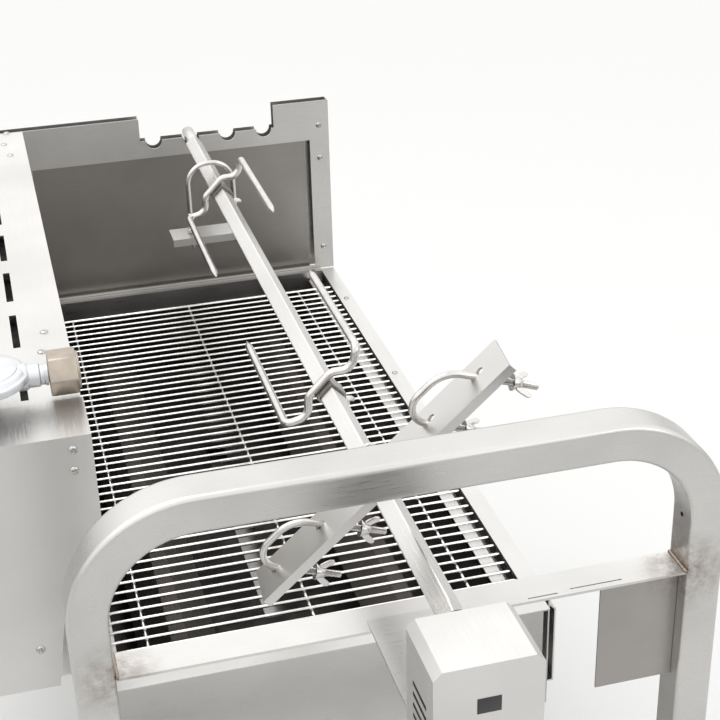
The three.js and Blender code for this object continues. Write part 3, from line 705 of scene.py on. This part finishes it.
# ---- regulator --------------------------------------------------------------------------------------
def make_regulator():
    low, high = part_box("regulator_body")
    nut_low, nut_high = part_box("regulator_nut")
    radius = (high.y - low.y) / 2
    centre = Vector((low.x + radius, (low.y + high.y) / 2, high.z - 20 * MM))
    profile = [(0, -8), (30, -8), (34, -7), (44, -1.6), (47.5, 0), (49.6, 1.6), (50, 3.5), (50, 8), (49, 9.6),
               (46.5, 10.4), (45.6, 11), (44.6, 13), (43, 14.4), (40, 15.2), (38.6, 15.4), (38, 16.6),
               (33, 18.6), (24, 19.6), (12, 19.9), (0, 20)]
    disc = moved(lathe([(r * MM, a * MM) for r, a in profile], 72), Matrix.Translation(centre))
    foot_profile = [(0, -27.6), (13, -27.6), (14, -26), (14, -7), (0, -7)]
    foot = lathe([(r * MM, a * MM) for r, a in foot_profile], 40)
    moved(foot, Matrix.Translation(centre))
    neck_profile = [(0, 38), (15, 38), (15, 46), (13, 49), (13, 60), (11.4, 61.5), (11.4, 65),
                    (12.6, 66.5), (12.6, 69.4), (0, 70)]
    neck = moved(lathe([(r * MM, a * MM) for r, a in neck_profile], 40),
                 aimed((1, 0, 0), centre + Vector((0, 0, 1 * MM))))
    piece("regulator_case", joined("regulator_case", [disc, foot, neck]), ALLOY, "chassis",
          ["regulator_body"])
    cap = [(0, 0), (17, 0), (17.6, 0.8), (17, 2.2), (14, 2.6), (13, 1.6), (6, 1.6), (5.4, 2.4), (0, 2.6)]
    piece("regulator_cap", moved(lathe([(r * MM, a * MM) for r, a in cap], 48), Matrix.Translation(
        centre + Vector((0, 0, 19.2 * MM)))), ALLOY, "chassis")
    middle = (nut_low + nut_high) / 2
    across_corners = (nut_high.y - nut_low.y) / 2
    width = nut_high.x - nut_low.x
    nut = moved(hexagon(across_corners, width), aimed((1, 0, 0), middle))
    piece("regulator_union_nut", nut, BRASS, "chassis", ["regulator_nut"])
    collar = [(0, -33), (10, -33), (10, 15.2), (21, 15.2), (21, 17), (19.5, 18), (12, 18), (12, 14), (0, 14)]
    tail = moved(lathe([(r * MM, a * MM) for r, a in collar], 40), aimed((1, 0, 0), middle))
    piece("regulator_collar", tail, BRASS, "chassis")


# ---- painted shade under the hood slots, and screws of the sheets -----------------------------------
def make_hood_slot_shade():
    """A dark sheet under the slots: painted shade, so the slots read dark."""
    low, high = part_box("hood_shell")
    # painted shade: a blackened sheet just under the hood top, behind the slots
    slot_shade = block((at(-90, 0, 0).x, low.y + 6 * MM, high.z - 16 * MM),
                   (at(20, 0, 0).x, high.y - 6 * MM, high.z - 14 * MM))
    piece("hood_slot_shade", slot_shade, PIT, "chassis")


def make_screws():
    wall_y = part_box("end_wall_frame")[0].y
    right_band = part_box("end_wall_frame")[1].x - 17.5 * MM
    for k, height in enumerate((292, 232, 62)):
        pan_screw(f"wall_screw_{k + 1}", (right_band, wall_y, GRATE_Z + (height - 16) * MM), (0, -1, 0))
    flange_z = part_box("trough_front")[1].z
    for k in range(4):
        place = (at(575, 0, 0).x, FIRST_BAR_Y - (60 + 300 * k) * MM, flange_z)
        pan_screw(f"flange_screw_{k + 1}", place, (0, 0, 1), radius=4.6 * MM)
    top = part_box("hood_shell")[1].z
    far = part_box("hood_shell")[1].y
    for k, (x, y) in enumerate(((36, 28), (29, -30), (36, -88))):
        pan_screw(f"hood_screw_far_{k + 1}", (at(x, 0, 0).x, far + (y - 28) * MM, top), (0, 0, 1))
    cap_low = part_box("hood_cap_near")[0]
    for k, (x, y) in enumerate(((36, -715), (29, -769))):
        place = at(x, y, 320) + Vector((0, 0, top - at(0, 0, 320).z))
        pan_screw(f"hood_screw_near_{k + 1}", place, (0, 0, 1))
    for k, (x, z) in enumerate(((43, 306), (42, 281), (-40, 292), (-140, 306), (-140, 60), (-20, 60))):
        place = Vector((at(x, 0, 0).x, cap_low.y, GRATE_Z + z * MM))
        pan_screw(f"cap_screw_{k + 1}", place, (0, -1, 0))


# ---- motor --------------------------------------------------------------------------------------------
def make_motor():
    low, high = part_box("motor_housing")
    x, z = SPIT.x, (low.z + high.z) / 2
    # Painted shade: thin blackened strips on the left side of the housing stand in for the dark insides of
    # vent slots.
    for k in range(6):
        foot = low.z + (20 + 12 * k) * MM
        vent_shade = block((low.x - 0.3 * MM, low.y + 20 * MM, foot),
                           (low.x + 0.5 * MM, high.y - 20 * MM, foot + 4 * MM))
        piece(f"motor_vent_shade_left_{k + 1}", vent_shade, PIT, "chassis")
    switch = block((x - 11 * MM, low.y - 0.4 * MM, z + 16 * MM),
                   (x + 11 * MM, low.y + 3 * MM, z + 32 * MM), 0.2 * MM)
    piece("motor_switch_frame", switch, PLASTIC, "chassis")
    for k, (dx, dz) in enumerate(((-38, -56), (38, -56), (-38, 56), (38, 56))):
        place = (x + dx * MM, low.y + 1.9 * MM, z + dz * MM)
        pan_screw(f"motor_screw_{k + 1}", place, (0, -1, 0), radius=3.6 * MM)


# ---- what the CAD nodes are made of ---------------------------------------------------------------------
def edge_softener(node, width):
    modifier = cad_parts[node].modifiers.new("soft_edges", "BEVEL")
    modifier.width = width
    modifier.segments = 2
    modifier.limit_method = "ANGLE"
    modifier.angle_limit = math.radians(50)
    modifier.use_clamp_overlap = True


def dress(nodes, material, bevel=0.0):
    for node in nodes:
        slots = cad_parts[node].data.materials
        slots.clear()
        slots.append(material)
        if bevel:
            edge_softener(node, bevel)


weld_right = Vector((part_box("handle_crossbar")[1].x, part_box("handle_crossbar")[0].y + 8 * MM,
                     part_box("handle_crossbar")[1].z))
weld_left = Vector((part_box("handle_crossbar")[0].x, weld_right.y, weld_right.z))
stains = [(tuple(weld_right), 55 * MM, 0.9), (tuple(weld_left), 50 * MM, 0.8)]

STEEL = (0.55, 0.54, 0.525)
HANDLE = brushed("handle_steel", STEEL, 0.30, "X", stains=stains, blotch=0.16)
CROSSBAR = brushed("crossbar_steel", (0.60, 0.59, 0.575), 0.36, "X", stains=stains)
# The end wall panel's steel is painted darker than the frame's: a painted reflection of the dark pit.
DARKENED_PANEL = brushed("panel_steel_painted_shade", (0.30, 0.285, 0.27), 0.34, "X", blotch=0.2)
GUSSET = brushed("gusset_steel", (0.36, 0.345, 0.33), 0.36, "X", stains=stains, blotch=0.2)
SHEET_X = brushed("sheet_along_x", STEEL, 0.32, "X")
SHEET_Y = brushed("sheet_along_y", (0.60, 0.59, 0.575), 0.34, "Y")
SHEET_Z = brushed("sheet_along_z", STEEL, 0.32, "Z")
SPIT_STEEL = brushed("spit_steel", (0.66, 0.645, 0.63), 0.28, "Y", blotch=0.10)
SLEEVE_STEEL = brushed("sleeve_steel", (0.26, 0.245, 0.23), 0.26, "Y")
POLISHED = plain("polished_steel", (0.56, 0.545, 0.53), 0.20, 1.0, 0.10, 60)
GRATE_CHROME = plain("grate_plating", (0.78, 0.765, 0.75), 0.20, 1.0, 0.12, 40)
SCREW = plain("screw_steel", (0.44, 0.425, 0.41), 0.2, 1.0, 0.1, 90)
WELD = plain("weld", (0.34, 0.28, 0.23), 0.42, 1.0, 0.35, 240, 0.3)
ALLOY = plain("grey_alloy", (0.56, 0.57, 0.59), 0.42, 0.75, 0.06, 50, 0.12)
BRASS = plain("dull_brass", (0.36, 0.315, 0.27), 0.38, 1.0, 0.12, 70, 0.1)
RUBBER = plain("tyre_rubber", (0.035, 0.035, 0.036), 0.75, 0.0, 0.2, 40, 0.15)
PLASTIC = plain("black_plastic", (0.02, 0.02, 0.021), 0.38, 0.0, 0.2, 60, 0.1)
MARK = plain("white_mark", (0.8, 0.8, 0.8), 0.5, 0.0, 0.03, 40)
PIT = sooty("blackened_steel")
HOT_PLATE = brushed("heat_plate_steel", (0.085, 0.078, 0.072), 0.5, "Y", blotch=0.4)
CASE = brushed("motor_case", (0.62, 0.61, 0.60), 0.40, "Y")


def dress_frame():
    dress(["handle_crossbar"], CROSSBAR, 0.4 * MM)
    dress(["handle_gusset"], GUSSET, 0.4 * MM)
    dress(["leg_far_rear", "leg_far_front"], SHEET_Z, 1.5 * MM)
    dress(["cross_rail_near", "cross_rail_far"], SHEET_X, 1.5 * MM)
    dress(["rail_rear", "rail_front"], SHEET_Y, 1.5 * MM)
    dress(["lower_shelf", "hood_base", "control_panel", "ledge_front", "ledge_rear"], SHEET_Y, 0.5 * MM)
    dress(["trough_front", "trough_rear"], SHEET_Y, 0.5 * MM)
    dress(["trough_near_end", "trough_far_end", "end_wall_frame", "end_wall_ledge"], SHEET_X, 0.5 * MM)
    dress(["end_wall_back"], SHEET_Z, 0.5 * MM)
    dress(["end_wall_panel"], DARKENED_PANEL, 0.5 * MM)
    dress(["trough_bottom", "rear_burner", "drive_socket"], PIT, 0.3 * MM)
    dress(["heat_plate_front", "heat_plate_rear"], HOT_PLATE, 0.5 * MM)
    dress(["burner_front", "burner_rear", "gas_manifold"], POLISHED)
    dress(["hood_shell", "hood_cap_near"], SHEET_Y, 0.6 * MM)
    dress(["drip_tray", "motor_bracket"], SHEET_X, 0.5 * MM)
    dress(["motor_housing"], CASE, 2.0 * MM)
    dress(["leg_bracket", "brace_plate"], SHEET_X, 0.5 * MM)
    dress([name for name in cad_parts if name.startswith("castor_fork")], SHEET_Z, 0.6 * MM)


def make_pit_lining():
    """Soot on the inside of the trough, just clear of its sides."""
    for name, sign in (("front", 1), ("rear", -1)):
        mid = at(300, 0, 0).x
        near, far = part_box("trough_front")[0].y + 2 * MM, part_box("trough_front")[1].y - 2 * MM
        inner = [(176, -166), (261.6, -70), (261.6, 0)]
        outer = [(262.6, 0), (262.6, -70.4), (177, -166.6)]
        outline = [(mid + sign * x * MM, GRATE_Z + z * MM) for x, z in inner + outer]
        lining = moved(extruded(outline, far - near), Matrix.Translation((0, (near + far) / 2, 0)))
        piece(f"pit_lining_{name}", lining, PIT, "chassis")
    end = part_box("trough_far_end")[0]
    lining = block((at(68, 0, 0).x, end.y - 2.4 * MM, GRATE_Z - 160 * MM),
                   (at(532, 0, 0).x, end.y - 1.4 * MM, GRATE_Z - 2 * MM))
    piece("pit_lining_far", lining, PIT, "chassis")


def make_rail_plugs():
    """Plastic plugs in the open ends of the far cross rail."""
    low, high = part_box("cross_rail_far")
    wall = 2.2 * MM
    for name, start, end in (("rear", low.x, low.x + 4 * MM), ("front", high.x - 4 * MM, high.x)):
        plug = block((start, low.y + wall, low.z + wall), (end, high.y - wall, high.z - wall), 0.8 * MM)
        piece(f"rail_plug_{name}", plug, PLASTIC, "chassis")


make_camera()
make_studio()
dress_frame()
make_grate()
make_pit_lining()
make_handle()
make_spit()
make_fork("fork_far", -240)
make_fork("fork_near", 230)
leg_bolt("leg_bolt_upper", 112, 0)
leg_bolt("leg_bolt_lower", -120, 1)
make_bracket_clamp()
make_brace()
make_castors()
make_knobs()
make_regulator()
make_rail_plugs()
make_hood_slot_shade()
make_screws()
make_motor()
